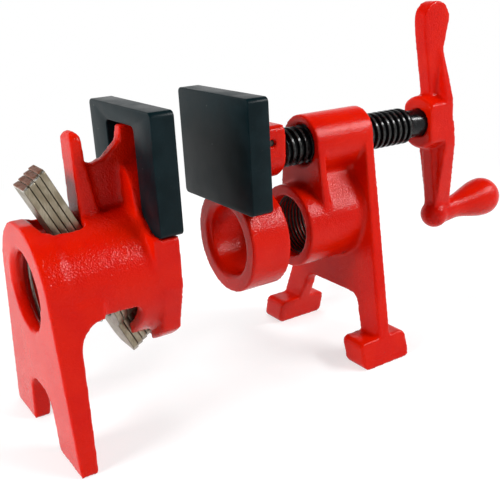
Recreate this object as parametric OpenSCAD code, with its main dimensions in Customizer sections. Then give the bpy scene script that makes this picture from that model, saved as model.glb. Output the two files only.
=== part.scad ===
// H-style pipe clamp for woodworking: a screw head and a sliding tail stop that
// both ride on one threaded steel pipe (the pipe itself is bought separately).
// Millimetres. X runs along the pipe axis from the tail stop to the crank, Z is up,
// the origin is the mouth of the head's pipe bore, on the pipe axis.

/* [Pipe and bores] */
// radius of the plain bore in the jaw ring that slides on the pipe
ring_bore_r = 13.8; // [13.5:0.05:14.1]
// radius of the plain bore in the tail stop and in the clutch plates
tail_bore_r = 13.9; // [13.6:0.05:14.1]
// wall radius standing for the pipe thread in the head (mean of the thread)
head_bore_r = 13.0; // [12.6:0.05:13.3]
// height of the pipe axis above the bench
axis_h = 57; // [54:0.5:62]
// height of the screw axis above the pipe axis
screw_h = 33.3; // [32.8:0.1:35]

/* [Jaw pads] */
// width of both pads across the clamp
pad_w = 51.8; // [49.4:0.2:56]
// bottom edge of the pads above the pipe axis
pad_z0 = 16; // [15.5:0.25:17.5]
// top edge of the pads above the pipe axis
pad_z1 = 59; // [57:0.5:62]
// thickness of a pad
pad_t = 8.8; // [7.6:0.1:9]
// wall left in front of a pad's pocket
pad_wall = 2.4; // [2:0.1:3]
// corner radius of a pad
pad_corner = 2; // [1:0.25:4]
// gap all round between a pad's pocket and the iron it slips over
pad_gap = 0.3; // [0.2:0.05:0.5]

/* [Sliding jaw] */
// clamping face of the head pad from the head's mouth
jaw_face_x = -32.4; // [-34:0.1:-31.5]
// end of the ring nearest the head
ring_x1 = -12.8; // [-14:0.1:-12.6]
// outer radius of the ring
ring_r = 21; // [19.5:0.25:22]
// half width of the column behind both pads
col_hw = 11.2; // [10:0.1:12.5]
// top of the iron inside a pad
col_z1 = 52.5; // [51:0.25:53]
// end of the screw boss nearest the head
boss_x1 = -6; // [-7:0.1:-5.6]
// half width of the screw boss
boss_hw = 10.4; // [9.8:0.1:11]
// top of the screw boss
boss_z1 = 44.8; // [43.5:0.1:47]
// radius of the pin that holds the screw in the jaw
pin_r = 1.5; // [1.3:0.05:1.7]
// pin axis from the head's mouth
pin_x = -12.2; // [-13:0.1:-11.5]
// pin axis above the screw axis
pin_up = 4.9; // [4.8:0.05:5.2]

/* [Screw] */
// outer radius of the screw thread
screw_r = 7.94; // [7.8:0.01:8.2]
// radial running clearance of the screw and of its journal
run_gap = 0.06; // [0.03:0.01:0.09]
// lead of the single-start thread (8 turns per inch)
screw_lead = 3.175; // [3:0.025:4]
// radius of the journal that turns in the jaw
journal_r = 5.5; // [5.3:0.05:5.8]
// tip of the journal from the head's mouth
journal_x0 = -20.8; // [-22:0.1:-20]
// end of the thread nearest the crank
thread_x1 = 66.3; // [65.5:0.1:68]
// radius of the plain shank in the crank's hub
shank_r = 6.2; // [5.9:0.05:6.5]

/* [Crank] */
// face of the crank's hub nearest the head
hub_x0 = 74.5; // [73.5:0.1:76]
// length of the hub along the screw
hub_len = 14; // [13:0.25:15]
// radius of the hub
hub_r = 12; // [11.5:0.1:12.5]
// half width of the hub across its flats
hub_flat = 8.8; // [8.3:0.1:9.5]
// half thickness of the arms
arm_ht = 3.5; // [3.2:0.1:4]
// top of the upper arm above the pipe axis
arm_z1 = 85.8; // [80:0.2:88]
// centre of the ball at the root of the grip knob, from the pipe axis
knob_z = -12.4; // [-14:0.1:-9]
// the knob's axis rises this much from the ball, in degrees
knob_tilt = 4.2; // [0:0.2:6]
// largest radius of the grip knob
knob_r = 9.4; // [8.5:0.1:10.4]
// free end of the grip knob
knob_x1 = 128.8; // [122:0.2:132]

/* [Head casting] */
// outer radius of the barrel round the pipe
low_r = 17.5; // [17:0.1:18.5]
// outer radius of the barrel round the screw
top_r = 12.2; // [11.8:0.1:13]
// front end of the barrel round the screw
top_x0 = 8.2; // [7.8:0.1:9]
// rear end of the barrel round the screw
top_x1 = 37; // [36.4:0.1:37.6]
// thickness of the front rib
rib_t = 3.6; // [3:0.1:4.5]
// half thickness of the web between the barrels
web_ht = 5.5; // [4:0.25:7]
// height where the web spreads out to the lower barrel
ridge_z = 21; // [19:0.25:22.5]
// fillet from the barrels and the web to the A-frame plate
root_r = 4; // [2:0.25:5]
// outer half width of the feet on the bench
foot_yo = 37.5; // [35.5:0.25:39]
// inner half width of the feet on the bench
foot_yi = 25; // [24:0.25:26.5]
// height of the feet
foot_h = 11.2; // [9:0.2:12.2]
// front end of the feet
foot_x0 = 11; // [10:0.1:13]
// rear end of the feet
foot_x1 = 35.5; // [33.5:0.1:36.5]
// half width of the arch between the legs
arch_hw = 18.8; // [18:0.1:20]
// ceiling of the arch below the pipe axis
arch_z = -31.9; // [-33:0.1:-29.5]

/* [Tail casting] */
// clamping face of the tail pad from the head's mouth
tail_face_x = -61; // [-63:0.1:-60.9]
// outer radius of the tail barrel
tail_r = 24.4; // [23.5:0.1:25]
// radius of the clutch chamber inside the tail barrel
chamber_r = 20; // [19.9:0.05:20.4]
// rear face of the tail casting
tail_x0 = -110.8; // [-112:0.1:-109]
// thickness of the wall the clutch spring stands on
end_wall = 4.5; // [4:0.1:4.7]
// lower edge of the chamber's side walls
skirt_z = -6.5; // [-8:0.25:-5.5]
// radius of the rounded iron at the jaw end
flange_r = 28.6; // [26.5:0.1:29.4]
// half width of the jaw end
flange_hw = 24.8; // [24.5:0.1:25.6]
// outer half width of the tail's legs on the bench
leg_yo = 34.75; // [32:0.25:36]
// inner half width of the tail's legs on the bench
leg_yi = 13.6; // [13:0.1:15.5]
// thickness of the leg plate under the barrel
leg_t = 8.4; // [6:0.1:9]
// thickness of the leg plate at the bench
leg_foot_t = 5.8; // [4:0.1:7]
// ceiling of the arch between the tail's legs
leg_arch_z = -36; // [-38:0.25:-34]
// half width of the slot for the plates' tongues
slot_hw = 11; // [10:0.25:12]
// half width of the thumb tab
tab_hw = 5.3; // [4.2:0.1:6]
// top of the thumb tab above the pipe axis
tab_z1 = 52.8; // [50:0.2:54]
// half thickness of the web behind the tab
tab_web_ht = 2.5; // [2:0.1:3]

/* [Clutch] */
// thickness of one clutch plate
plate_t = 2.3; // [2.1:0.05:2.3]
// distance from one plate to the next
plate_pitch = 2.4; // [2.38:0.01:2.42]
// lean of the plates with no pipe in them, in degrees
tilt = 25; // [22:0.5:25.5]
// step between the ends of neighbouring plates when they lean
step = 0.55; // [0.3:0.05:0.65]
// height of the pivot line above the pipe axis
pivot_z = 21.2; // [20.6:0.1:21.4]
// gap between the front plate and the tab
tab_gap = 0.35; // [0.3:0.05:0.4]
// half width of a plate's upper tongue
tongue_hw = 5.8; // [4.8:0.1:6.4]
// upper end of a plate from the centre of its hole
plate_up = 44.5; // [41:0.25:46]
// lower end of a plate from the centre of its hole
plate_dn = 30.8; // [29:0.2:31.5]
// radius of a plate's body
plate_r = 18.6; // [18:0.1:18.7]
// half width of a plate beside its hole
plate_hw = 17.2; // [16.5:0.1:17.6]
// half width of a plate's lower tongue
toe_hw = 8.8; // [7.5:0.1:9.4]
// radius of the clutch spring's wire
wire_r = 0.6; // [0.5:0.05:0.65]
// mean radius of the clutch spring
spring_r = 16.6; // [16.2:0.05:17]
// turns of the clutch spring
turns = 2.25; // [2:0.125:2.25]

/* [Hidden] */

floor_z = -axis_h;
red = [0.72, 0.05, 0.03];
black = [0.05, 0.06, 0.07];
steel = [0.55, 0.52, 0.46];
$fn = 96;

// planes of the tilted A-frame plate: x = x_at_0 + slope * z
frame_back_x = 33.2;
frame_back_slope = 0.13;
frame_front_x = 27.9;
frame_front_slope = 0.143;
low_x1 = frame_back_x + frame_back_slope * low_r + 0.1;  // rear face of the lower barrel
foot_lean = 0.27;      // outward lean of the legs and feet
foot_round = 2.5;
far = 150;             // a length beyond every part, for cuts
mouth = 1.6;           // chamfer of the bores' mouths

// iron inside the pads
head_iron_x = jaw_face_x + pad_wall;       // front of the jaw casting, in the pad
head_pad_back = jaw_face_x + pad_t;
tail_iron_x = tail_face_x - pad_wall;      // front of the tail casting, in the pad
tail_pad_back = tail_face_x - pad_t;

// tail casting lengths
chamber_x0 = tail_x0 + end_wall;
chamber_x1 = tail_face_x - 10;             // the front bore starts here
skirt_x1 = tail_face_x - 17.2;             // front end of the cut under the barrel
flange_x1 = tail_face_x - 1.3;             // face of the flange below the pad
leg_back = tail_x0 + leg_t;
skirt_round = 10;                          // fillet from the legs to the skirt
tab_x0 = tail_face_x - 28.8;               // face the plates come to rest against
slot_x0 = tail_x0 + 5.2;
toe_gap = 0.6;
flange_low_hw = flange_hw - 5.8;           // the flange narrows below the pipe axis

// clutch kinematics: each plate turns about its own pivot line, so that the plates
// stand flush on the pipe when upright and step when they lean
piv = [tab_x0 - tab_gap, pivot_z];
lean = [-sin(tilt), cos(tilt)];            // along a leaning plate, upwards
face = [cos(tilt), sin(tilt)];             // across a leaning plate, to the front
function centre_up(i) = [piv[0] - plate_t / 2 - (4 - i) * plate_pitch, 0];
centre_4 = piv - pivot_z * lean - plate_t / 2 * face;
function centre(i) = centre_4 - (4 - i) * (plate_pitch * face + step * lean);
pivot_shift = step / (2 * sin(tilt / 2));
function pivot(i) = piv + (4 - i) * pivot_shift * [cos(tilt / 2), sin(tilt / 2)];
for (i = [1:4]) echo(str("pivot ", i), pivot(i), "centre", centre(i));
// front end of the slot under the barrel: the last plate's toe stays clear of it
toe_slot_x1 = (centre_4 + plate_t / 2 * face - plate_dn * lean)[0] + toe_gap;

// ---------- helpers ----------
module xcyl(r, x0, x1, z = 0, y = 0)
    translate([x0, y, z]) rotate([0, 90, 0]) cylinder(r = r, h = x1 - x0);
module ycyl(r, y0, y1, x, z)
    translate([x, y0, z]) rotate([-90, 0, 0]) cylinder(r = r, h = y1 - y0);
// profile drawn as [y, z], run along X
module run_x(x0, x1)
    translate([x0, 0, 0]) rotate([90, 0, 90]) linear_extrude(x1 - x0) children();
// profile drawn as [x, z], run along Y
module run_y(y0, y1)
    translate([0, y1, 0]) rotate([90, 0, 0]) linear_extrude(y1 - y0) children();
module box2(a, b) translate(a) square(b - a);
module round2(a, b, r) {
    box2([a[0] + r, a[1]], [b[0] - r, b[1]]);
    box2([a[0], a[1] + r], [b[0], b[1] - r]);
    for (x = [a[0] + r, b[0] - r], z = [a[1] + r, b[1] - r]) translate([x, z]) circle(r = r);
}
// turned part along X: list of [x, radius]
module turned(pts, z)
    translate([0, 0, z]) rotate([0, 90, 0]) rotate_extrude()
        polygon(concat([[0, pts[0][0]]], [for (p = pts) [p[1], p[0]]],
                       [[0, pts[len(pts) - 1][0]]]));

// ---------- head casting ----------
module frame_outline() {
    translate([0, screw_h]) circle(r = top_r);
    difference() {
        polygon([[-foot_yo, floor_z], [foot_yo, floor_z],
                 [top_r, screw_h], [-top_r, screw_h]]);
        arch_outline();
    }
}
arch_r = 6;                                // corner radius of the arch
module arch_outline() {
    polygon([[-foot_yi - 1, floor_z - 1], [-foot_yi + 3, floor_z + foot_h], [-arch_hw, arch_z - arch_r],
             [-arch_hw + arch_r, arch_z], [arch_hw - arch_r, arch_z], [arch_hw, arch_z - arch_r],
             [foot_yi - 3, floor_z + foot_h], [foot_yi + 1, floor_z - 1]]);
    for (s = [-1, 1]) translate([s * (arch_hw - arch_r), arch_z - arch_r]) circle(r = arch_r);
}
module frame_plate() intersection() {
    run_x(0, far) frame_outline();
    run_y(-far, far) polygon([
        [frame_front_x + frame_front_slope * floor_z, floor_z],
        [frame_back_x + frame_back_slope * floor_z, floor_z],
        [frame_back_x + frame_back_slope * far, far], [frame_front_x + frame_front_slope * far, far]]);
}
// concave fillet profile, l long and h high: [x, offset from the surface] up to x = 0
function fillet(l, h) = [for (a = [0:15:90]) [-l + l * sin(a), h * (1 - cos(a))]];
// front face of the A-frame plate at height z
function plate_x(z) = frame_front_x + frame_front_slope * z;
// roots of the barrels and of the web on the leaning plate
module roots() intersection() {
    run_x(0, far) frame_outline();
    union() {
        translate([plate_x(low_r), 0, 0])
            turned(concat([for (p = fillet(root_r + 3, root_r)) [p[0], low_r - 0.2 + p[1]]],
                          [[1, low_r + root_r]]), 0);
        translate([plate_x((ridge_z + screw_h) / 2), 0, 0]) linear_extrude(screw_h) polygon(concat(
            [for (p = fillet(root_r + 1, root_r)) [p[0], web_ht - 0.2 + p[1]]],
            [[1, web_ht + root_r], [1, -web_ht - root_r]],
            [for (a = [90:-15:0]) [-(root_r + 1) * (1 - sin(a)), -web_ht + 0.2 - root_r * (1 - cos(a))]]));
    }
}
// the lower barrel rises to the web in two flat flanks
ridge_a = atan(web_ht / ridge_z) + acos(low_r / norm([web_ht, ridge_z]));
module ridge_outline() polygon([
    [0, 0], low_r * [sin(ridge_a), cos(ridge_a)], [web_ht, ridge_z],
    [-web_ht, ridge_z], low_r * [-sin(ridge_a), cos(ridge_a)]]);
module foot(s) intersection() {
    run_x(foot_x0 - 5, foot_x1 + 5) polygon([
        [s * foot_yi, floor_z], [s * foot_yo, floor_z],
        [s * (foot_yo - foot_lean * foot_h), floor_z + foot_h],
        [s * (foot_yi - foot_lean * foot_h), floor_z + foot_h]]);
    run_y(-far, far) round2([foot_x0, floor_z], [foot_x1, floor_z + foot_h], foot_round);
}
module rib_outline() {
    translate([0, screw_h]) circle(r = top_r);
    polygon([[-low_r + 1, 0], [low_r - 1, 0], [top_r, screw_h], [-top_r, screw_h]]);
}
module head_casting() color(red) difference() {
    union() {
        xcyl(low_r, 0, low_x1);
        xcyl(top_r, top_x0, top_x1, screw_h);
        run_x(top_x0, top_x0 + rib_t) rib_outline();
        run_x(top_x0, plate_x(screw_h) + 1) box2([-web_ht, 0], [web_ht, screw_h]);
        run_x(top_x0, plate_x(ridge_z)) ridge_outline();
        roots();
        frame_plate();
        for (s = [-1, 1]) foot(s);
    }
    xcyl(head_bore_r, -5, far);
    turned([[top_x0 - 5, screw_r + run_gap], [top_x1 + 5, screw_r + run_gap]], screw_h);
    turned([[top_x0 - 0.01, screw_r + 1.8], [top_x0 + 1.8, screw_r]], screw_h);
}

// ---------- sliding jaw ----------
module col_outline(g) {
    round2([-col_hw - g, 0], [col_hw + g, col_z1 + g], 2);
}
journal_gap = 0.15;
jaw_web_hw = 8;        // half width of the neck between ring and boss
module sliding_jaw() color(red) difference() {
    union() {
        xcyl(ring_r, head_iron_x, ring_x1);
        run_x(head_iron_x, head_pad_back + 3) difference() {
            col_outline(0);
            box2([-ring_r, -1], [ring_r, ring_r / 2]);
        }
        run_x(head_pad_back, boss_x1) boss_outline();
        run_x(head_pad_back, ring_x1 - 2) box2([-jaw_web_hw, ring_r - 6], [jaw_web_hw, screw_h]);
    }
    xcyl(ring_bore_r, head_iron_x - 5, ring_x1 + 5);
    turned([[head_iron_x - 0.01, ring_bore_r + mouth], [head_iron_x + mouth, ring_bore_r]], 0);
    turned([[journal_x0 - journal_gap, journal_r + run_gap], [boss_x1 + 5, journal_r + run_gap]],
           screw_h);
    ycyl(pin_r + 0.02, -boss_hw - 5, boss_hw + 5, pin_x, screw_h + pin_up);
}
// the boss is square above the screw axis and round below it
module boss_outline() {
    translate([0, screw_h]) circle(r = boss_hw);
    difference() {
        round2([-boss_hw, screw_h - 6], [boss_hw, boss_z1], 2.5);
        box2([-boss_hw - 1, screw_h - 8], [boss_hw + 1, screw_h]);
    }
}
pin_in = 1;            // the pin ends this far below the boss's flats
module jaw_pin() color(steel)
    ycyl(pin_r, -boss_hw + pin_in, boss_hw - pin_in, pin_x, screw_h + pin_up);

// ---------- pads: plastic caps, pocket at the back ----------
module pad_outline() round2([-pad_w / 2, pad_z0], [pad_w / 2, pad_z1], pad_corner);
module jaw_pad() color(black) difference() {
    run_x(jaw_face_x, head_pad_back) pad_outline();
    run_x(head_iron_x, head_pad_back + 1) col_outline(pad_gap);
    xcyl(ring_r + pad_gap, head_iron_x, head_pad_back + 1);
}
module tail_pad() color(black) difference() {
    run_x(tail_pad_back, tail_face_x) pad_outline();
    run_x(tail_pad_back - 1, tail_iron_x) col_outline(pad_gap);
    xcyl(tail_r + pad_gap, tail_pad_back - 1, tail_iron_x);
}

// ---------- screw ----------
groove_r = pin_up - pin_r - 0.15;
groove_hw = pin_r + 0.15;
hub_x1 = hub_x0 + hub_len;
module spindle() color(black) turned([
    [journal_x0, journal_r - 0.8], [journal_x0 + 0.8, journal_r],
    [pin_x - groove_hw, journal_r], [pin_x - groove_hw, groove_r],
    [pin_x + groove_hw, groove_r], [pin_x + groove_hw, journal_r],
    [boss_x1 + 1, journal_r], [boss_x1 + 1, screw_r - 1.4], [boss_x1 + 2.4, screw_r],
    [thread_x1 - 1.4, screw_r], [thread_x1, shank_r],
    [hub_x1, shank_r], [hub_x1, shank_r + 1.4], [hub_x1 + 0.8, shank_r + 0.8],
    [hub_x1 + 1.2, shank_r - 1]], screw_h);

// ---------- crank ----------
ball_r = 6.6;
ball_x = hub_x0 + 12.6;
arm_back = hub_x1 + 1.2;                   // rear edge of the lower arm at the hub
arm_end_r = 7.6;
arm_end_x = hub_x0 + 7.7;
neck_r = 5.5;
knob_len = (knob_x1 - knob_r - ball_x) / cos(knob_tilt);   // ball centre to knob centre
module arm_profile() {
    // upper arm: leans to the front, waisted behind, with a round end
    translate([arm_end_x, arm_z1 - arm_end_r]) circle(r = arm_end_r);
    polygon([[hub_x0 + 5.6, screw_h], [hub_x0 + 4.7, screw_h + 12.7], [hub_x0 + 0.4, arm_z1 - 12.4],
             [arm_end_x - arm_end_r + 0.05, arm_z1 - arm_end_r - 0.6],
             [arm_end_x + arm_end_r - 0.2, arm_z1 - arm_end_r - 1.6], [hub_x0 + 12.1, arm_z1 - 21.5],
             [hub_x1, screw_h + 10], [hub_x1 + 0.3, screw_h]]);
    // lower arm tapering to the ball
    polygon([[hub_x0 + 5.1, screw_h], [arm_back, screw_h], [ball_x + 6.4, knob_z + 7],
             [ball_x + 4, knob_z], [ball_x - 4.5, knob_z], [ball_x - 3.5, knob_z + 6.4]]);
}
// the rear edge of each arm flares out to the hub's flats
module flare() difference() {
    run_y(-hub_flat, hub_flat) difference() {
        arm_profile();
        box2([-far, -far], [hub_x0 + 9.5, far]);
    }
    for (s = [-1, 1]) run_x(-far, far) polygon([
        [s * arm_ht, arm_z1 - 20], [s * hub_flat, screw_h + hub_r - 1.5],
        [s * far, screw_h + hub_r - 2], [s * far, far], [s * arm_ht, far]]);
    for (s = [-1, 1]) run_x(-far, far) polygon([
        [s * (arm_ht + 0.3), knob_z + 6], [s * hub_flat, screw_h - hub_r + 1.5],
        [s * far, screw_h - hub_r + 2], [s * far, -far], [s * (arm_ht + 0.3), -far]]);
}
module crank_handle() color(red) difference() {
    union() {
        intersection() {
            turned([[hub_x0, hub_r - 1.2], [hub_x0 + 1.2, hub_r], [hub_x1, hub_r]], screw_h);
            run_x(hub_x0, hub_x1) box2([-hub_flat, screw_h - hub_r], [hub_flat, screw_h + hub_r]);
        }
        run_y(-arm_ht, arm_ht) arm_profile();
        flare();
        translate([ball_x, 0, knob_z]) {
            sphere(r = ball_r);
            // grip knob: a waisted neck that swells to a ball end
            rotate([0, -knob_tilt, 0]) turned(concat([[0, neck_r + 0.5], [11, neck_r]],
                [for (a = [15:15:165]) let (t = (1 - cos(a)) / 2)
                    [11 + t * (knob_len - 11), neck_r + (knob_r - neck_r) * t * t * (3 - 2 * t)]],
                [[knob_len, knob_r]]), 0);
            rotate([0, -knob_tilt, 0]) translate([knob_len, 0, 0]) sphere(r = knob_r);
        }
    }
    xcyl(shank_r + 0.02, hub_x0 - 20, hub_x1, screw_h);
    xcyl(shank_r + 1.7, hub_x1 - 0.01, hub_x1 + 10, screw_h);
}

// ---------- tail casting ----------
module tail_plate_outline() {
    circle(r = tail_r + 0.4);
    difference() {
        polygon([[-leg_yo, floor_z], [leg_yo, floor_z], [tail_r + 0.2, 3], [-tail_r - 0.2, 3]]);
        polygon([[-leg_yi, floor_z - 1], [-leg_yi + 2.4, leg_arch_z - 8], [-leg_yi + 10.4, leg_arch_z],
                 [leg_yi - 10.4, leg_arch_z], [leg_yi - 2.4, leg_arch_z - 8], [leg_yi, floor_z - 1]]);
        for (s = [-1, 1]) translate([s * (leg_yi - 10.4), leg_arch_z - 8]) circle(r = 8);
    }
}
module tail_side_profile() {
    // upright at the rear, thinning to the bench in front
    polygon([[tail_x0, tail_r], [tail_x0, 0], [tail_x0 - 0.3, floor_z], [tail_x0 + leg_foot_t, floor_z],
             [leg_back, skirt_z - skirt_round], [leg_back, tail_r]]);
    difference() {
        box2([leg_back - 1, skirt_z - skirt_round], [leg_back + skirt_round, 0]);
        translate([leg_back + skirt_round, skirt_z - skirt_round]) circle(r = skirt_round);
    }
}
column_z = 28;                             // centre of the column's round top
flare_r = 12.3;
shoulder_t = 2.5;
module column_outline() {
    translate([0, column_z]) circle(r = col_hw);
    box2([-col_hw, 0], [col_hw, column_z]);
}
module tail_body() {
    intersection() {
        run_x(tail_x0 - 10, leg_back + skirt_round) tail_plate_outline();
        run_y(-far, far) tail_side_profile();
    }
    difference() {
        xcyl(tail_r, tail_x0, tail_pad_back);
        run_y(-far, far) union() {
            box2([leg_back - 1, -far], [skirt_x1 - 3, skirt_z]);
            box2([leg_back - 1, -far], [skirt_x1, skirt_z - 3]);
            translate([skirt_x1 - 3, skirt_z - 3]) circle(r = 3);
        }
    }
    // jaw end: flange below the pad, column and barrel inside it
    run_x(tail_pad_back - 0.5, flange_x1) intersection() {
        circle(r = flange_r);
        polygon([[-flange_hw, pad_z0 - 0.4], [flange_hw, pad_z0 - 0.4], [flange_hw, -3],
                 [flange_low_hw, -flange_r + 6], [flange_low_hw, -flange_r],
                 [-flange_low_hw, -flange_r], [-flange_low_hw, -flange_r + 6], [-flange_hw, -3]]);
    }
    run_x(tail_pad_back - 0.5, tail_iron_x) {
        circle(r = tail_r);
        column_outline();
    }
    // shoulder behind the pad: the column flares into the flange
    run_x(tail_pad_back - shoulder_t, tail_pad_back) {
        column_outline();
        difference() {
            box2([-flange_hw, 0], [flange_hw, column_z]);
            for (s = [-1, 1]) translate([s * (col_hw + flare_r), column_z + 1]) circle(r = flare_r);
        }
    }
    tab();
    tab_web();
}
root_z = 17;                               // the tab and its web start inside the barrel
notch_z = tab_z1 - 8.6;                    // thumb notch between the tab and the pad
notch_r = 3.7;
module tab() intersection() {
    run_y(-far, far) {
        polygon([[tab_x0, root_z], [tab_x0, tab_z1 - 2], [tab_x0 + 1.4, tab_z1], [tab_x0 + 2.6, tab_z1],
                 [tab_x0 + 4, tab_z1 - 2], [tab_x0 + 4.3, notch_z - 2], [tab_x0 + 7.4, root_z + 5],
                 [tab_x0 + 7.4, root_z]]);
    }
    run_x(tab_x0 - 5, tab_x0 + 12) {
        polygon([[-tab_hw - 1.4, 0], [tab_hw + 1.4, 0], [tab_hw, tab_z1 - 3.5], [-tab_hw, tab_z1 - 3.5]]);
        round2([-tab_hw, tab_z1 - 12], [tab_hw, tab_z1 + 0.01], 4);
    }
}
tip_z = col_z1 - 0.2;
module tab_web() run_y(-tab_web_ht, tab_web_ht) difference() {
    polygon([[tab_x0 + 3, root_z], [tab_x0 + 3, notch_z], [tab_x0 + 11.8, notch_z - 3],
             [tab_x0 + 18.3, notch_z + 3], [tail_pad_back - 0.8, tip_z], [tail_iron_x - 2, tip_z],
             [tail_iron_x - 0.5, tip_z - 3], [tail_iron_x - 0.5, root_z]]);
    translate([tab_x0 + 8, notch_z]) circle(r = notch_r);
    box2([tab_x0 + 4.3, notch_z], [tab_x0 + 8 + notch_r, tab_z1]);
}
module tail_casting() color(red) difference() {
    tail_body();
    // clutch chamber, and the pipe bore at each end of it
    xcyl(chamber_r, chamber_x0, chamber_x1);
    xcyl(tail_bore_r, tail_x0 - 20, flange_x1 + 20);
    turned([[tail_x0 - 0.01, tail_bore_r + mouth], [tail_x0 + mouth, tail_bore_r]], 0);
    // slot for the upper tongues
    intersection() {
        linear_extrude(far) slot_plan();
        run_y(-far, far) box2([slot_x0 - 5, 0], [tab_x0, tail_r + 5]);
    }
    // relief under the tab, so that the leaning plates bear on it at their pivot line
    run_y(-tongue_hw - 1, tongue_hw + 1) polygon([
        [tab_x0 - 0.1, pivot_z], [tab_x0, pivot_z], [tab_x0 + 1.8, pivot_z - 3.6], [tab_x0 - 0.1, pivot_z - 3.6]]);
    // slot for the lower tongues
    translate([0, 0, floor_z]) linear_extrude(-floor_z)
        round2([chamber_x1 - 20, -toe_hw - toe_gap], [toe_slot_x1, toe_hw + toe_gap], 2);
}
module slot_plan() {
    round2([slot_x0, -slot_hw], [tab_x0 - 0.01, slot_hw], 5);
    round2([slot_x0 + 6, -slot_hw], [tab_x0, slot_hw], 3);
}

// ---------- clutch plates ----------
module plate_outline() difference() {
    union() {
        intersection() {
            circle(r = plate_r);
            box2([-plate_hw, -chamber_r], [plate_hw, chamber_r]);
        }
        round2([-tongue_hw, 0], [tongue_hw, plate_up], 1.6);
        polygon([[-toe_hw, 0], [-toe_hw, -plate_dn + 3], [-toe_hw + 3, -plate_dn],
                 [toe_hw - 3, -plate_dn], [toe_hw, -plate_dn + 3], [toe_hw, 0]]);
    }
    circle(r = tail_bore_r);
}
module clutch_plate(i) color(steel)
    translate([centre(i)[0], 0, centre(i)[1]]) rotate([0, -tilt, 0])
        run_x(-plate_t / 2, plate_t / 2) plate_outline();
module clutch_plate_1() clutch_plate(1);
module clutch_plate_2() clutch_plate(2);
module clutch_plate_3() clutch_plate(3);
module clutch_plate_4() clutch_plate(4);

// ---------- clutch spring: one unbroken wire between the end wall and the first plate ----------
ring_step = 15;                            // degrees from one ring of the wire to the next
sides = 6;
seat_gap = 0.3;
function plate_face_x(z) = let (c = centre(1) - plate_t / 2 * face) c[0] - (z - c[1]) * tan(tilt);
function wire_pt(a) = let (z = spring_r * sin(a - 90), y = spring_r * cos(a - 90),
        x0 = chamber_x0 + wire_r + seat_gap,
        x1 = plate_face_x(z) - (wire_r + seat_gap) / cos(tilt), t = a / (360 * turns))
    [x0 + (x1 - x0) * t, y, z];
rings = floor(360 * turns / ring_step);
wire = [for (k = [0:rings]) wire_pt(k * ring_step)];
function unit(v) = v / norm(v);
function wire_ring(k) = let (
        t = unit(wire[min(k + 1, rings)] - wire[max(k - 1, 0)]),
        o = unit([0, wire[k][1], wire[k][2]]),
        u = unit(o - (o * t) * t), v = cross(t, u))
    [for (s = [0:sides - 1]) wire[k] + wire_r * (cos(60 * s) * u + sin(60 * s) * v)];
least_gap = min([for (k = [0:rings], m = [k + 16:1:rings]) norm(wire[k] - wire[m])]) - 2 * wire_r;
echo(least_gap_of_the_spring_to_itself = least_gap);
module clutch_spring() color(steel) polyhedron(
    points = [for (k = [0:rings]) each wire_ring(k)],
    faces = concat(
        [for (k = [0:rings - 1], s = [0:sides - 1], h = [0, 1]) let (n = (s + 1) % sides,
            a = k * sides + s, b = k * sides + n, c = a + sides, d = b + sides)
            h == 0 ? [a, c, b] : [b, c, d]],
        [for (s = [1:sides - 2]) [0, s, s + 1]],
        [for (s = [1:sides - 2]) [rings * sides, rings * sides + s + 1, rings * sides + s]]));

head_casting();
sliding_jaw();
jaw_pad();
jaw_pin();
spindle();
crank_handle();
tail_casting();
tail_pad();
clutch_spring();
clutch_plate_1();
clutch_plate_2();
clutch_plate_3();
clutch_plate_4();
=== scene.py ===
"""Pipe clamp: a screw head with its crank, and a tail stop with a spring clutch.
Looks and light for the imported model. Metres; X along the pipe, Z up."""
import math

import bpy
import bmesh
import numpy as np
from mathutils import Euler, Matrix, Vector


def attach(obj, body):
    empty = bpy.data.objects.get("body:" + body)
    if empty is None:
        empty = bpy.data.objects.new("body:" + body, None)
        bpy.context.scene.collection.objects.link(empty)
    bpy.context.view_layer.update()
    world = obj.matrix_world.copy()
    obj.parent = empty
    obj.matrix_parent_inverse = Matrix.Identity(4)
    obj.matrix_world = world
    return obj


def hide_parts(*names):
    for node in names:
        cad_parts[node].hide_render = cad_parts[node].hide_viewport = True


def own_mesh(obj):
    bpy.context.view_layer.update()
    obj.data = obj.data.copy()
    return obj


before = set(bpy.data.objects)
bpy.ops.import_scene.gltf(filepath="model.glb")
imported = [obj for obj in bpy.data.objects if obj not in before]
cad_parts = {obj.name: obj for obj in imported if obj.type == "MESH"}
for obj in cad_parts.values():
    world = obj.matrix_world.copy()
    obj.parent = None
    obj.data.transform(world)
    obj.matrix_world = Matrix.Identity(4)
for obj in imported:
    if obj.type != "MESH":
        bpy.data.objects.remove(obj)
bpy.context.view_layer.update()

MM = 0.001

# sizes of the solids, in mm
SCREW_Z = 33.3                    # the screw's axis above the pipe's
JOURNAL_X = (-20.8, -5.0)         # the end of the screw that turns in the jaw
JOURNAL_R = 5.5
GROOVE_X = (-13.9, -10.5)         # the groove that the jaw's pin runs in
GROOVE_R = 3.3
SHANK_R = 6.2                     # the screw where it has no thread
HUB_BACK = 88.5                   # rear face of the crank's hub
RIVET_R, RIVET_X = 7.6, 89.7      # the screw's end, spread over the hub
PIN_X, PIN_UP = -12.2, 4.9        # the jaw's pin, and its height above the screw's axis
PIN_R, PIN_HALF = 1.5, 9.4
BENCH_Z = -57.0
TILT = math.radians(25)           # lean of the clutch plates
PLATE_T, PITCH = 2.3, 2.4         # a plate's thickness, and from one plate to the next
STEP = 0.55                       # from one plate's end to the next one's, when they lean
PLATE_1 = (-88.0608, -3.038)      # centres of the first and the last plate, x and z
PLATE_4 = (-82.2327, 1.50026)
PLATE_UP = 44.5                   # upper end of a plate from its centre
END_WALL = -106.3                 # the wall the spring stands on
SPRING_R, WIRE_R, SPRING_TURNS = 16.6, 0.6, 2.25

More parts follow.
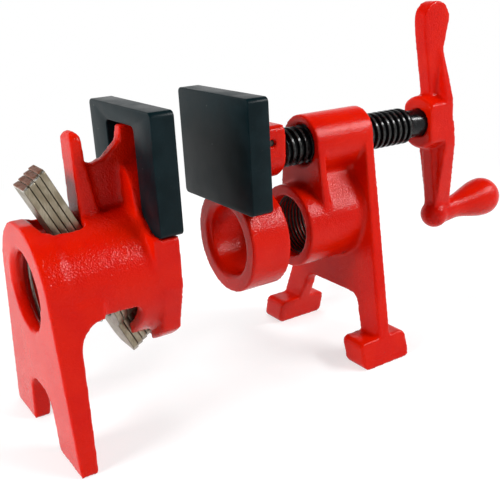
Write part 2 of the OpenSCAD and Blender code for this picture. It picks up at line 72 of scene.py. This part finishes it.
# the threads, which the solids don't have, in mm
SCREW_LEAD = 3.175                # 8 turns per inch
SCREW_ROOT_R, SCREW_CREST_R = 6.35, 7.93
SCREW_START, SCREW_END = -4.4, 66.2
PIPE_LEAD = 1.814                 # 14 turns per inch
PIPE_ROOT_R, PIPE_CREST_R = 13.25, 12.3
PIPE_START, PIPE_END = 3.2, 34.9

# the camera fitted to the photograph
PHOTO_W, PHOTO_H = 500, 482       # pixels
FOCAL_LENGTH = 768.41             # pixels
OPTICAL_CENTRE = (271.73, 253.95)
YAW, PITCH_DOWN, ROLL = 33.53, -19.67, -2.64       # degrees
EYE = (-0.17558, -0.25262, 0.09778)                # metres

WHITE = (1.0, 1.0, 1.0, 1.0)


# ---------- node graphs, for shaders and for geometry ----------
class Value:
    """A socket that can be used in sums."""

    def __init__(self, graph, socket):
        self.graph, self.socket = graph, socket

    def sum(self, operation, *values, **settings):
        """A Math node on the values."""
        node = self.graph.add("ShaderNodeMath", {"operation": operation, **settings}, *values)
        return self.graph.value(node)

    def calc(self, operation, *others):
        """A Math node on this value and the others."""
        return self.sum(operation, self, *others)

    def __add__(self, other):
        return self.calc("ADD", other)

    def __radd__(self, other):
        return self.calc("ADD", other)

    def __sub__(self, other):
        return self.calc("SUBTRACT", other)

    def __rsub__(self, other):
        return self.sum("SUBTRACT", other, self)

    def __mul__(self, other):
        return self.calc("MULTIPLY", other)

    def __rmul__(self, other):
        return self.calc("MULTIPLY", other)

    def __truediv__(self, other):
        return self.calc("DIVIDE", other)

    def __rtruediv__(self, other):
        return self.sum("DIVIDE", other, self)

    def ramp(self, low, high):
        """0 below low, 1 above high, smooth between."""
        node = self.graph.add("ShaderNodeMapRange", {"interpolation_type": "SMOOTHSTEP"},
                              self, low, high, 0.0, 1.0)
        return self.graph.value(node)

    def clamped(self):
        return self.sum("MULTIPLY", self, 1.0, use_clamp=True)


class Graph:
    """Adds nodes to a tree: settings first, then the values or links of the sockets."""

    def __init__(self, tree):
        self.tree = tree

    def feed(self, socket, value):
        """Links a Value or an output to the socket, or sets it."""
        if isinstance(value, Value):
            self.tree.links.new(value.socket, socket)
        elif hasattr(value, "is_output"):
            self.tree.links.new(value, socket)
        else:
            socket.default_value = value

    def add(self, kind, settings=None, *values, **named):
        node = self.tree.nodes.new(kind)
        for key, value in (settings or {}).items():
            setattr(node, key, value)
        for index, value in enumerate(values):
            self.feed(node.inputs[index], value)
        for key, value in named.items():
            self.feed(node.inputs[key.replace("_", " ")], value)
        return node

    def value(self, node, output=0):
        return Value(self, node.outputs[output])


# the sockets of a Mix node that mixes colours
SHARE, FIRST, SECOND, MIXED = 0, 6, 7, 2


def rgb(red, green, blue):
    """A colour as it is seen (0 to 255), as scene light."""
    def lin(c):
        c /= 255.0
        return c / 12.92 if c <= 0.04045 else ((c + 0.055) / 1.055) ** 2.4
    return (lin(red), lin(green), lin(blue), 1.0)


class Finish(Graph):
    """A material in the making, in millimetres of the part's own frame."""

    def __init__(self, name):
        self.material = bpy.data.materials.new(name)
        self.material.use_nodes = True
        super().__init__(self.material.node_tree)
        self.shader = self.tree.nodes["Principled BSDF"]
        place = self.add("ShaderNodeTexCoord").outputs["Object"]
        scaled = self.add("ShaderNodeVectorMath", {"operation": "SCALE"}, place, Scale=1 / MM)
        self.mm = scaled.outputs[0]
        split = self.add("ShaderNodeSeparateXYZ", None, self.mm)
        self.x, self.y, self.z = (self.value(split, i) for i in range(3))

    def noise(self, size, detail=2.0, rough=0.5, stretch=(1, 1, 1)):
        """Soft noise, 0 to 1, whose features are about `size` mm."""
        scale = tuple(1.0 / (size * s) for s in stretch)
        where = self.add("ShaderNodeVectorMath", {"operation": "MULTIPLY"}, self.mm, scale)
        return self.value(self.add("ShaderNodeTexNoise", {"noise_dimensions": "3D"},
                                   where.outputs[0], Scale=1.0, Detail=detail, Roughness=rough))

    def mix(self, share, one, other):
        """The colour `one` where share is 0, and `other` where it is 1."""
        node = self.add("ShaderNodeMix", {"data_type": "RGBA"})
        for index, value in ((SHARE, share), (FIRST, one), (SECOND, other)):
            self.feed(node.inputs[index], value)
        return self.value(node, MIXED)

    def bump(self, height, depth):
        """Bump of `height` (0 to 1) with `depth` mm between its ends."""
        return self.add("ShaderNodeBump", None, Strength=1.0, Distance=depth * MM,
                        Height=height).outputs[0]

    def done(self, **sockets):
        """Feeds the shader's sockets and gives the material."""
        for key, value in sockets.items():
            self.feed(self.shader.inputs[key.replace("_", " ")], value)
        return self.material


# ---------- finishes ----------
def red_enamel():
    """Thick red paint on sand-cast iron: pebbled, glossy, a few chips."""
    m = Finish("red_enamel")
    drift = m.noise(14.0, 3.0)
    grain = m.noise(0.65, 1.0)
    pool = m.noise(3.0, 1.0)
    colour = m.mix(drift.ramp(0.35, 0.7), rgb(204, 21, 0), rgb(197, 13, 0))
    colour = m.mix(grain.ramp(0.56, 0.74) * 0.3, colour, rgb(218, 26, 3))
    chip = m.noise(2.2, 3.0, 0.7).ramp(0.755, 0.775)
    colour = m.mix(chip, colour, rgb(92, 58, 40))
    return m.done(Base_Color=colour,
                  Roughness=0.17 + drift.ramp(0.3, 0.7) * 0.05 + chip * 0.3,
                  Specular_IOR_Level=0.13,
                  Normal=m.bump(grain * 0.7 + pool * 0.4, 0.25))


def pad_plastic():
    """Satin moulded plastic, a little scuffed."""
    m = Finish("pad_plastic")
    cloud = m.noise(9.0, 3.0)
    grit = m.noise(0.5, 2.0, 0.6)
    scuff = m.noise(1.2, 4.0, 0.7, stretch=(1, 6, 1)).ramp(0.62, 0.8)
    speck = m.noise(1.5, 2.0, 0.7).ramp(0.79, 0.81)
    colour = m.mix(cloud.ramp(0.35, 0.7), rgb(1, 18, 22), rgb(8, 26, 30))
    colour = m.mix(scuff * 0.3, colour, rgb(62, 66, 65))
    colour = m.mix(speck, colour, rgb(170, 172, 168))
    return m.done(Base_Color=colour,
                  Roughness=0.33 + cloud.ramp(0.3, 0.7) * 0.1 + scuff * 0.1,
                  Specular_IOR_Level=0.11,
                  Normal=m.bump(grit * 0.6 + cloud * 0.6, 0.06))


def black_oxide():
    """Oiled black oxide on a rolled screw, worn bright along the crests."""
    m = Finish("black_oxide")
    up = m.z - SCREW_Z
    from_axis = (m.y * m.y + up * up).calc("SQRT")
    mottle = m.noise(1.6, 3.0, 0.6)
    wear = (from_axis + mottle * 0.5).ramp(8.0, 8.4)
    colour = m.mix(mottle.ramp(0.4, 0.7), rgb(6, 7, 9), rgb(15, 17, 19))
    colour = m.mix(wear * 0.25, colour, rgb(120, 122, 118))
    turned = m.noise(0.35, 2.0, 0.6, stretch=(1, 40, 40))
    return m.done(Base_Color=colour, Metallic=0.2,
                  Roughness=0.16 + mottle.ramp(0.3, 0.7) * 0.12,
                  Specular_IOR_Level=0.25,
                  Normal=m.bump(turned * 0.5 + mottle * 0.6, 0.05))


def stamped_steel():
    """Punched steel plate: bright sheared sides, painted shade along the edges where one plate
    meets the next, a painted glint just below each top, brown rolled tops.
    """
    m = Finish("stamped_steel")
    cos, sin = math.cos(TILT), math.sin(TILT)
    across = m.x * cos + m.z * sin
    up = m.z * cos - m.x * sin
    last = PLATE_4[0] * cos + PLATE_4[1] * sin
    top = PLATE_4[1] * cos - PLATE_4[0] * sin + PLATE_UP
    number = (across - last) / PITCH          # 0 at the last plate, -3 at the first
    # mm from the nearest plate's middle; the 100 keeps the sum above 0
    from_middle = ((number + 100.5).calc("FRACT") - 0.5).calc("ABSOLUTE") * PITCH
    along = m.noise(1.4, 3.0, 0.6)
    shear = m.noise(0.3, 2.0, 0.6, stretch=(1.0, 1.0, 8.0))
    cloud = m.noise(5.0, 3.0)
    colour = m.mix(cloud.ramp(0.35, 0.7), rgb(134, 122, 102), rgb(164, 154, 135))
    colour = m.mix(shear.ramp(0.35, 0.7) * 0.5, colour, rgb(108, 104, 84))
    # painted shade: each plate's side darkens towards both faces, in place of the shade in the gaps
    # between the plates
    edge = from_middle.ramp(0.92, 1.1) * (1 - from_middle.ramp(1.135, 1.149))
    colour = m.mix(edge * 0.9, colour, rgb(42, 32, 20))
    reach = up - number * STEP                # the same at the top of each plate
    # painted highlight: a pale, smoother band just below each plate's top stands in for the glints
    # on its near corners
    painted_glint = reach.ramp(top - 1.1, top - 0.8) * along.ramp(0.46, 0.5)
    colour = m.mix(painted_glint * 0.8, colour, rgb(242, 240, 232))
    rolled = (reach + along * 0.4).ramp(top - 0.4, top + 0.1)
    colour = m.mix(rolled * 0.9, colour, rgb(122, 72, 52))
    return m.done(Base_Color=colour, Metallic=0.85 - edge * 0.4 - rolled * 0.3,
                  Roughness=0.32 + along.ramp(0.3, 0.7) * 0.15 - painted_glint * 0.15 + rolled * 0.3,
                  Normal=m.bump(shear * 0.7 + along * 0.4, 0.06))


def bright_wire():
    """Spring wire, drawn bright."""
    m = Finish("bright_wire")
    mottle = m.noise(1.0, 3.0, 0.6)
    colour = m.mix(mottle.ramp(0.35, 0.7), rgb(178, 176, 168), rgb(138, 134, 124))
    return m.done(Base_Color=colour, Metallic=0.95, Roughness=0.26 + mottle * 0.14,
                  Normal=m.bump(mottle, 0.02))


def cut_iron():
    """Bare iron where a thread was cut, dark with oil."""
    m = Finish("cut_iron")
    mottle = m.noise(2.0, 3.0, 0.6)
    colour = m.mix(mottle.ramp(0.35, 0.7), rgb(74, 62, 58), rgb(48, 34, 32))
    return m.done(Base_Color=colour, Metallic=0.8, Roughness=0.34 + mottle * 0.2,
                  Normal=m.bump(m.noise(0.4, 2.0), 0.03))


ENAMEL, PLASTIC, OXIDE, STEEL, WIRE, IRON = (make() for make in (
    red_enamel, pad_plastic, black_oxide, stamped_steel, bright_wire, cut_iron))


# ---------- pieces and their meshes ----------
def in_scene(name, data):
    """A new object of the scene."""
    made = bpy.data.objects.new(name, data)
    bpy.context.scene.collection.objects.link(made)
    return made


def put(name, mesh, material, body, stands_for=()):
    """A finished piece, on its body."""
    piece = in_scene(name, mesh)
    mesh.materials.clear()
    mesh.materials.append(material)
    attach(piece, body)
    if stands_for:
        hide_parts(*stands_for)
    return piece


def merged_copy(node):
    """The node's own mesh with its loose corners joined, in a new object."""
    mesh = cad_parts[node].data.copy()
    bm = bmesh.new()
    bm.from_mesh(mesh)
    bmesh.ops.remove_doubles(bm, verts=bm.verts, dist=2e-6)
    bm.to_mesh(mesh)
    bm.free()
    return in_scene(node + "_raw", mesh)


def discard(raw):
    """Takes a working object and its mesh away."""
    mesh = raw.data
    bpy.data.objects.remove(raw)
    bpy.data.meshes.remove(mesh)


def settled(raw):
    """The evaluated mesh of an object with modifiers; the object goes."""
    graph = bpy.context.evaluated_depsgraph_get()
    mesh = bpy.data.meshes.new_from_object(raw.evaluated_get(graph), depsgraph=graph)
    discard(raw)
    return mesh


# ---------- castings ----------
def settle_corners(mesh, edge_passes, root_passes):
    """Rounds a fine mesh like sand-cast iron: outer edges a little, inner corners much more."""
    def read(items, key, width=1, kind=np.int64):
        out = np.empty(len(items) * width, dtype=kind)
        items.foreach_get(key, out)
        return out

    count = len(mesh.vertices)
    place = read(mesh.vertices, "co", 3, np.float64).reshape(-1, 3)
    ends = read(mesh.edges, "vertices", 2)
    one, two = ends[0::2], ends[1::2]
    near = np.bincount(ends, minlength=count)[:, None]
    corners = read(mesh.loops, "vertex_index")
    starts = read(mesh.polygons, "loop_start")
    sizes = read(mesh.polygons, "loop_total")
    a, b, c = corners[starts], corners[starts + 1], corners[starts + 2]
    d = corners[starts + np.minimum(sizes - 1, 3)]

    def spread(values, where, out):
        for k in range(3):
            out[:, k] += np.bincount(where, values[:, k], count)

    def normals():
        flat = np.cross(place[c] - place[a], place[d] - place[b])
        out = np.zeros((count, 3))
        for where in (a, b, c, d):
            spread(flat, where, out)
        return out / np.maximum(np.linalg.norm(out, axis=1), 1e-12)[:, None]

    for turn in range(max(edge_passes, root_passes)):
        if turn % 4 == 0:                     # they change too little to work out each time
            outward = normals()
        pull = np.zeros((count, 3))
        spread(place[two], one, pull)
        spread(place[one], two, pull)
        pull = pull / near - place
        hollow = (pull * outward).sum(axis=1) > 0
        share = np.where(hollow, turn < root_passes, turn < edge_passes) * 0.5
        place = place + pull * share[:, None]
    mesh.vertices.foreach_set("co", place.ravel())
    mesh.update()


# the fine grid of a casting lies askew to its edges, so that it leaves no steps along them
ASKEW = Euler((0.6, 0.45, 0.9)).to_matrix().to_4x4()


def cast(name, node, body, grain, edge_passes, root_passes):
    """A painted casting: the solid on a grid of `grain` mm, with its edges and roots rounded."""
    raw, form = merged_copy(node), merged_copy(node)
    raw.data.transform(ASKEW)
    form.data.transform(ASKEW)
    remesh = raw.modifiers.new("grain", "REMESH")
    remesh.mode, remesh.voxel_size, remesh.use_smooth_shade = "VOXEL", grain * MM, True
    onto = raw.modifiers.new("onto the form", "SHRINKWRAP")
    onto.target, onto.wrap_method = form, "NEAREST_SURFACEPOINT"
    mesh = settled(raw)
    discard(form)
    mesh.transform(ASKEW.inverted())
    settle_corners(mesh, edge_passes, root_passes)
    mesh.shade_smooth()
    return put(name, mesh, ENAMEL, body, (node,))


cast("head_casting_painted", "head_casting", "head", grain=0.62, edge_passes=4, root_passes=30)
cast("sliding_jaw_painted", "sliding_jaw", "jaw", grain=0.6, edge_passes=4, root_passes=12)
cast("crank_painted", "crank_handle", "screw", grain=0.6, edge_passes=5, root_passes=30)
cast("tail_casting_painted", "tail_casting", "tail", grain=0.68, edge_passes=5, root_passes=24)


# ---------- turned and coiled pieces ----------
def skinned(name, rings):
    """A closed skin over rings of points, with a face on each end ring."""
    bm = bmesh.new()
    rings = [[bm.verts.new(point) for point in ring] for ring in rings]
    sides = len(rings[0])
    for one, two in zip(rings, rings[1:]):
        for k in range(sides):
            n = (k + 1) % sides
            bm.faces.new((one[k], one[n], two[n], two[k]))
    bm.faces.new(list(reversed(rings[0])))
    bm.faces.new(rings[-1])
    bmesh.ops.recalc_face_normals(bm, faces=bm.faces)
    mesh = bpy.data.meshes.new(name)
    bm.to_mesh(mesh)
    bm.free()
    return mesh


def lathe(points, centre_z, steps=96):
    """Turned piece about the X axis at height centre_z, from [x, radius] in mm."""
    angles = [2 * math.pi * k / steps for k in range(steps)]
    mesh = skinned("lathe", [
        [(x * MM, r * math.cos(a) * MM, (centre_z + r * math.sin(a)) * MM) for a in angles]
        for x, r in points])
    for face in mesh.polygons:
        face.use_smooth = len(face.vertices) == 4
    return mesh


def softened(points, size):
    """The profile with its corners cut by `size` mm."""
    out = [points[0]]
    for before, here, after in zip(points, points[1:], points[2:]):
        for other in (before, after):
            away = math.dist(here, other)
            t = min(size / away, 0.45)
            out.append((here[0] + (other[0] - here[0]) * t, here[1] + (other[1] - here[1]) * t))
    out.append(points[-1])
    return out


def coil(steps=64, sides=12):
    """The clutch spring: the wire runs from the end wall to the leaning first plate."""
    cos, sin = math.cos(TILT), math.sin(TILT)
    face = (PLATE_1[0] - PLATE_T / 2 * cos, PLATE_1[1] - PLATE_T / 2 * sin)
    gap = WIRE_R + 0.3                        # from the wire's middle to what it stands on
    whole = 2 * math.pi * SPRING_TURNS

    def point(a):
        z, y = SPRING_R * math.sin(a - math.pi / 2), SPRING_R * math.cos(a - math.pi / 2)
        low = END_WALL + gap
        high = face[0] - (z - face[1]) * math.tan(TILT) - gap / cos
        return Vector((low + (high - low) * a / whole, y, z))

    count = round(steps * SPRING_TURNS)
    path = [point(whole * k / count) for k in range(count + 1)]
    rings = []
    for k, here in enumerate(path):
        run = (path[min(k + 1, count)] - path[max(k - 1, 0)]).normalized()
        out = Vector((0, here.y, here.z)).normalized()
        out = (out - out.dot(run) * run).normalized()
        side = run.cross(out)
        rings.append([(here + WIRE_R * (math.cos(t) * out + math.sin(t) * side)) * MM
                      for t in (2 * math.pi * s / sides for s in range(sides))])
    mesh = skinned("coil", rings)
    mesh.shade_smooth()
    return mesh


# ---------- threads: one tree makes any helical ridge on a grid ----------
def thread_tree():
    """A grid rolled round the X axis, with a ridge that winds along it."""
    tree = bpy.data.node_groups.new("thread", "GeometryNodeTree")
    g = Graph(tree)
    tree.interface.new_socket("Geometry", in_out="OUTPUT", socket_type="NodeSocketGeometry")
    for kind, names in (
            ("Float", ("Start", "End", "Lead", "Root", "Crest", "Fade", "Axis height", "Flip")),
            ("Int", ("Rows", "Columns")),
            ("Material", ("Finish",))):
        for name in names:
            tree.interface.new_socket(name, in_out="INPUT", socket_type="NodeSocket" + kind)
    given = tree.nodes.new("NodeGroupInput")
    size = {s.name: Value(g, s) for s in given.outputs if s.name}
    grid = g.add("GeometryNodeMeshGrid", None, 1.0, 1.0, size["Rows"], size["Columns"])
    place = g.add("ShaderNodeSeparateXYZ", None, g.add("GeometryNodeInputPosition").outputs[0])
    along = g.value(place, 0) + 0.5
    turn = (g.value(place, 1) + 0.5) * size["Flip"]
    x = size["Start"] + along * (size["End"] - size["Start"])
    phase = (x / size["Lead"] - turn + 100.0).calc("FRACT")       # the 100 keeps it above 0
    from_crest = (phase - 0.5).calc("ABSOLUTE") * 2
    ridge = 1 - from_crest.ramp(0.34, 0.66)                       # the flank lies between these
    fade = (((x - size["Start"]) / size["Fade"]).clamped()
            * ((size["End"] - x) / size["Fade"]).clamped())
    r = size["Root"] + (size["Crest"] - size["Root"]) * ridge * fade
    angle = turn * (2 * math.pi)
    where = g.add("ShaderNodeCombineXYZ", None, x * MM, r * angle.calc("COSINE") * MM,
                  (size["Axis height"] + r * angle.calc("SINE")) * MM)
    moved = g.add("GeometryNodeSetPosition", None, grid.outputs[0], Position=where.outputs[0])
    joined = g.add("GeometryNodeMergeByDistance", None, moved.outputs[0], Distance=1e-6)
    whole = g.add("GeometryNodeRealizeInstances", None, joined.outputs[0])
    coated = g.add("GeometryNodeSetMaterial", None, whole.outputs[0], Material=size["Finish"])
    out = tree.nodes.new("NodeGroupOutput")
    tree.links.new(coated.outputs[0], out.inputs[0])
    return tree


THREAD = thread_tree()


def threaded(name, material, **sizes):
    """The mesh that the thread tree gives for these sizes."""
    raw = in_scene(name + "_raw", bpy.data.meshes.new(name + "_raw"))
    grow = raw.modifiers.new("thread", "NODES")
    grow.node_group = THREAD
    ids = {s.name: s.identifier for s in THREAD.interface.items_tree if s.in_out == "INPUT"}
    for key, value in {**sizes, "Finish": material}.items():
        grow[ids[key.replace("_", " ")]] = value
    raw.update_tag()
    bpy.context.view_layer.update()
    mesh = settled(raw)
    mesh.shade_smooth()
    return mesh


# ---------- screw, pin and pipe thread ----------
put("screw_thread",
    threaded("screw_thread", OXIDE, Start=SCREW_START, End=SCREW_END, Lead=SCREW_LEAD,
             Root=SCREW_ROOT_R, Crest=SCREW_CREST_R, Fade=1.6, Axis_height=SCREW_Z,
             Flip=1.0, Rows=420, Columns=73),
    OXIDE, "screw")

core = [(JOURNAL_X[0], 4.6), (JOURNAL_X[0] + 0.8, JOURNAL_R),
        (GROOVE_X[0], JOURNAL_R), (GROOVE_X[0], GROOVE_R),
        (GROOVE_X[1], GROOVE_R), (GROOVE_X[1], JOURNAL_R),
        (JOURNAL_X[1], JOURNAL_R), (JOURNAL_X[1] + 0.4, SHANK_R),
        (SCREW_END, SHANK_R), (HUB_BACK, SHANK_R),
        (HUB_BACK, RIVET_R), (HUB_BACK + 0.8, 7.0), (RIVET_X, 5.2)]
put("screw_core", lathe(softened(core, 0.2), SCREW_Z), OXIDE, "screw",
    ("spindle",))

put("pipe_thread",
    threaded("pipe_thread", IRON, Start=PIPE_START, End=PIPE_END, Lead=PIPE_LEAD,
             Root=PIPE_ROOT_R, Crest=PIPE_CREST_R, Fade=1.8, Axis_height=0.0,
             Flip=-1.0, Rows=260, Columns=97),
    IRON, "head")

pin_ends = [(-PIN_HALF, 0.9), (-PIN_HALF + 0.3, PIN_R), (PIN_HALF - 0.3, PIN_R), (PIN_HALF, 0.9)]
pin = lathe(softened(pin_ends, 0.1), centre_z=0.0, steps=32)
pin.transform(Matrix.Translation((PIN_X * MM, 0, (SCREW_Z + PIN_UP) * MM))
              @ Matrix.Rotation(math.pi / 2, 4, "Z"))
put("jaw_pin_dressed", pin, IRON, "jaw", ("jaw_pin",))


# ---------- stamped plates, moulded pads and the spring ----------
def edged(name, node, body, material, size):
    """The solid with its edges rounded by `size` mm."""
    raw = merged_copy(node)
    bm = bmesh.new()
    bm.from_mesh(raw.data)
    bmesh.ops.dissolve_limit(bm, angle_limit=math.radians(0.5), verts=bm.verts, edges=bm.edges)
    bm.to_mesh(raw.data)
    bm.free()
    edge = raw.modifiers.new("rounded edge", "BEVEL")
    edge.width, edge.segments = size * MM, 3
    edge.limit_method, edge.angle_limit = "ANGLE", math.radians(40)
    mesh = settled(raw)
    mesh.shade_smooth()
    mesh.set_sharp_from_angle(angle=math.radians(35))
    return put(name, mesh, material, body, (node,))


for number in (1, 2, 3, 4):
    edged("clutch_plate_%d_punched" % number, "clutch_plate_%d" % number,
          "clutch_%d" % number, STEEL, size=0.3)
edged("jaw_pad_moulded", "jaw_pad", "jaw", PLASTIC, size=0.7)
edged("tail_pad_moulded", "tail_pad", "tail", PLASTIC, size=0.7)

spring = put("clutch_spring_wire", coil(), WIRE, "tail", ("clutch_spring",))
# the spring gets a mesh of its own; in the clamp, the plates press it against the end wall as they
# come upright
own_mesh(spring)


# ---------- bench, light and camera ----------
def white_ground():
    """White paper that keeps the part's soft shadow and is plain white far away."""
    material = bpy.data.materials.new("white_ground")
    material.use_nodes = True
    g = Graph(material.node_tree)
    g.tree.nodes.clear()
    path = g.add("ShaderNodeLightPath")
    seen = (g.value(path, "Is Camera Ray") + g.value(path, "Is Glossy Ray")
            + g.value(path, "Is Transmission Ray")).clamped()
    spot = g.add("ShaderNodeNewGeometry").outputs["Position"]
    away = g.add("ShaderNodeVectorMath", {"operation": "LENGTH"}, spot)
    far = g.value(away, "Value").ramp(0.16, 0.4)       # metres from the origin
    paper = g.add("ShaderNodeBsdfDiffuse", None, (0.8, 0.8, 0.8, 1.0))
    grey = g.add("ShaderNodeBsdfDiffuse", None, (0.45, 0.45, 0.45, 1.0))
    glow = g.add("ShaderNodeEmission", None, WHITE, 0.6)
    white = g.add("ShaderNodeEmission", None, WHITE, 1.0)
    lit = g.add("ShaderNodeAddShader", None, grey.outputs[0], glow.outputs[0])
    shown = g.add("ShaderNodeMixShader", None, far, lit.outputs[0], white.outputs[0])
    both = g.add("ShaderNodeMixShader", None, seen, paper.outputs[0], shown.outputs[0])
    g.tree.links.new(both.outputs[0], g.add("ShaderNodeOutputMaterial").inputs[0])
    return material


def ground():
    """The bench: a wide sheet just under the feet."""
    mesh = bpy.data.meshes.new("ground")
    half, z = 3.0, (BENCH_Z - 0.02) * MM      # metres
    mesh.from_pydata([(-half, -half, z), (half, -half, z), (half, half, z), (-half, half, z)],
                     [], [(0, 1, 2, 3)])
    mesh.materials.append(white_ground())
    in_scene("ground", mesh)


def sky():
    """White where it is seen, and at the horizon where it is mirrored, under a dim ceiling."""
    world = bpy.data.worlds.new("studio")
    bpy.context.scene.world = world
    world.use_nodes = True
    g = Graph(world.node_tree)
    g.tree.nodes.clear()
    path = g.add("ShaderNodeLightPath")
    way = g.add("ShaderNodeTexCoord").outputs["Generated"]
    ray = g.add("ShaderNodeSeparateXYZ", None, way)
    backdrop = 1 - g.value(ray, 2).ramp(0.3, 0.6)
    mirrored = g.value(path, "Is Glossy Ray") * backdrop
    seen = (g.value(path, "Is Camera Ray") + g.value(path, "Is Transmission Ray")
            + mirrored).clamped()
    ceiling = 0.14 - g.value(path, "Is Glossy Ray") * 0.08
    light = g.add("ShaderNodeBackground", None, (0.95, 0.98, 1.0, 1.0), ceiling)
    white = g.add("ShaderNodeBackground", None, WHITE, 1.0)
    both = g.add("ShaderNodeMixShader", None, seen, light.outputs[0], white.outputs[0])
    g.tree.links.new(both.outputs[0], g.add("ShaderNodeOutputWorld").inputs[0])


def lamp(name, azimuth, elevation, distance, size, watts, mirrored):
    """A soft box; azimuth 0 is +Y and turns towards +X. One that isn't mirrored gives no glints."""
    a, e = math.radians(azimuth), math.radians(elevation)
    way = Vector((math.sin(a) * math.cos(e), math.cos(a) * math.cos(e), math.sin(e)))
    data = bpy.data.lights.new(name, "AREA")
    data.shape, data.size, data.size_y, data.energy = "RECTANGLE", size[0], size[1], watts
    light = in_scene(name, data)
    light.location = Vector((0, 0, 0.01)) + way * distance
    light.rotation_euler = (-way).to_track_quat("-Z", "Y").to_euler()
    light.visible_glossy = mirrored


def camera():
    """Where the photograph was taken from."""
    yaw, pitch, roll = (math.radians(d) for d in (YAW, PITCH_DOWN, ROLL))
    ahead = Vector((math.sin(yaw) * math.cos(pitch), math.cos(yaw) * math.cos(pitch),
                    math.sin(pitch)))
    level = Vector((math.cos(yaw), -math.sin(yaw), 0))
    above = level.cross(ahead)
    right = math.cos(roll) * level + math.sin(roll) * above
    up = -math.sin(roll) * level + math.cos(roll) * above
    data = bpy.data.cameras.new("camera")
    data.sensor_fit, data.sensor_width = "HORIZONTAL", 36.0
    data.lens = FOCAL_LENGTH * data.sensor_width / PHOTO_W
    data.shift_x = (PHOTO_W / 2 - OPTICAL_CENTRE[0]) / PHOTO_W
    data.shift_y = (OPTICAL_CENTRE[1] - PHOTO_H / 2) / PHOTO_W
    data.clip_start, data.clip_end = 0.01, 20
    eye = in_scene("camera", data)
    facing = Matrix((right, up, -ahead)).transposed().to_4x4()
    eye.matrix_world = Matrix.Translation(EYE) @ facing
    bpy.context.scene.camera = eye


ground()
sky()
lamp("key_box", azimuth=133, elevation=35, distance=1.1, size=(0.6, 0.1), watts=11.0,
     mirrored=True)
lamp("top_box", azimuth=10, elevation=68, distance=1.3, size=(1.0, 0.8), watts=8.0,
     mirrored=False)
lamp("side_box", azimuth=268, elevation=22, distance=1.2, size=(0.5, 0.5), watts=13.0,
     mirrored=False)
camera()

view = bpy.context.scene.view_settings
view.view_transform = "Standard"
